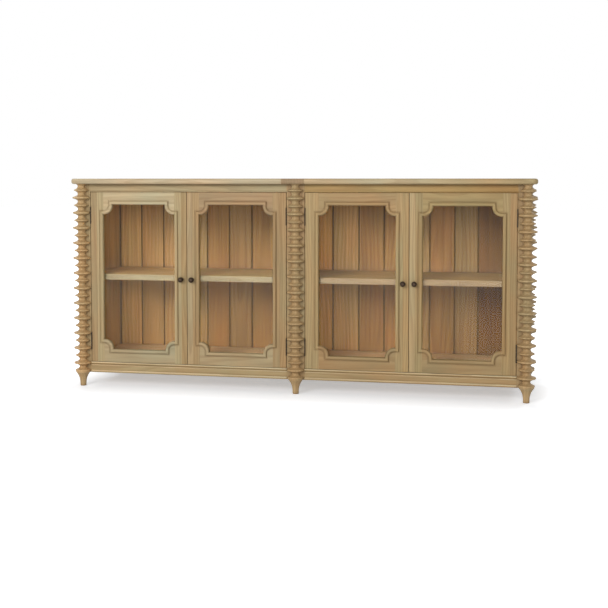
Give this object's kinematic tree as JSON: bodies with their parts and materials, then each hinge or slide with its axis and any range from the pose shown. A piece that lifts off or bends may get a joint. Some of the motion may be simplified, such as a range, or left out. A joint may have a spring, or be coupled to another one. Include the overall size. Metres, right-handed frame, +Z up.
{
  "type": "sideboard",
  "caption": "Long low sideboard: glazed doors with scooped-corner mouldings between turned ring columns on turned feet, shelves inside.",
  "frame": {"origin": "on the floor at the middle of the footprint", "axes": "+X to the right seen from the front, -Y towards the front where the doors are, +Z up"},
  "size_m": [2.113, 0.545, 0.965],
  "materials": {
    "top_wood": "bleached, matte",
    "case_wood": "bleached, matte",
    "turned_wood": "bleached, matte",
    "door_wood": "bleached, matte",
    "inside_wood": "bleached, matte",
    "glass": "clear",
    "knob_metal": "aged dark, satin",
    "hinge_metal": "aged dark, satin",
    "steel": "satin"
  },
  "bodies": {
    "cabinet": {"top_left": "top_wood", "top_centre": "top_wood", "top_right": "top_wood", "column_front_left": "turned_wood", "column_front_centre": "turned_wood", "column_front_right": "turned_wood", "column_rear_left": "turned_wood", "column_rear_right": "turned_wood", "feet": "turned_wood", "post_front_left": "case_wood", "post_front_right": "case_wood", "rear_posts": "case_wood", "centre_stile": "case_wood", "side_left": "case_wood", "side_right": "case_wood", "partition": "inside_wood", "floor_board": "inside_wood", "frieze_rails": "case_wood", "base_rails": "case_wood", "rear_rails": "inside_wood", "back_boards": "inside_wood", "shelf_left": "inside_wood", "shelf_right": "inside_wood", "shelf_pins": "steel", "hinge_leaves_fixed": "hinge_metal", "hinge_pins": "hinge_metal", "door_catches": "inside_wood"},
    "door_1": {"door_1_stile_hinge": "door_wood", "door_1_stile_meeting": "door_wood", "door_1_rail_top": "door_wood", "door_1_rail_bottom": "door_wood", "door_1_inner_frame": "door_wood", "door_1_glass": "glass", "door_1_knob": "knob_metal", "door_1_hinge_leaves": "hinge_metal"},
    "door_2": {"door_2_stile_hinge": "door_wood", "door_2_stile_meeting": "door_wood", "door_2_rail_top": "door_wood", "door_2_rail_bottom": "door_wood", "door_2_inner_frame": "door_wood", "door_2_glass": "glass", "door_2_knob": "knob_metal", "door_2_hinge_leaves": "hinge_metal"},
    "door_3": {"door_3_stile_hinge": "door_wood", "door_3_stile_meeting": "door_wood", "door_3_rail_top": "door_wood", "door_3_rail_bottom": "door_wood", "door_3_inner_frame": "door_wood", "door_3_glass": "glass", "door_3_knob": "knob_metal", "door_3_hinge_leaves": "hinge_metal"},
    "door_4": {"door_4_stile_hinge": "door_wood", "door_4_stile_meeting": "door_wood", "door_4_rail_top": "door_wood", "door_4_rail_bottom": "door_wood", "door_4_inner_frame": "door_wood", "door_4_glass": "glass", "door_4_knob": "knob_metal", "door_4_hinge_leaves": "hinge_metal"}
  },
  "joints": [
    {"name": "door_1_hinge", "type": "hinge", "parent": "cabinet", "child": "door_1", "pos_m": [-0.9715, -0.2341, 0.50875], "axis": [0, 0, -1], "range_deg": [0, 110]},
    {"name": "door_2_hinge", "type": "hinge", "parent": "cabinet", "child": "door_2", "pos_m": [-0.0425, -0.2341, 0.50875], "axis": [0, 0, 1], "range_deg": [0, 90]},
    {"name": "door_3_hinge", "type": "hinge", "parent": "cabinet", "child": "door_3", "pos_m": [0.0425, -0.2341, 0.50875], "axis": [0, 0, -1], "range_deg": [0, 90]},
    {"name": "door_4_hinge", "type": "hinge", "parent": "cabinet", "child": "door_4", "pos_m": [0.9715, -0.2341, 0.50875], "axis": [0, 0, 1], "range_deg": [0, 110]}
  ]
}
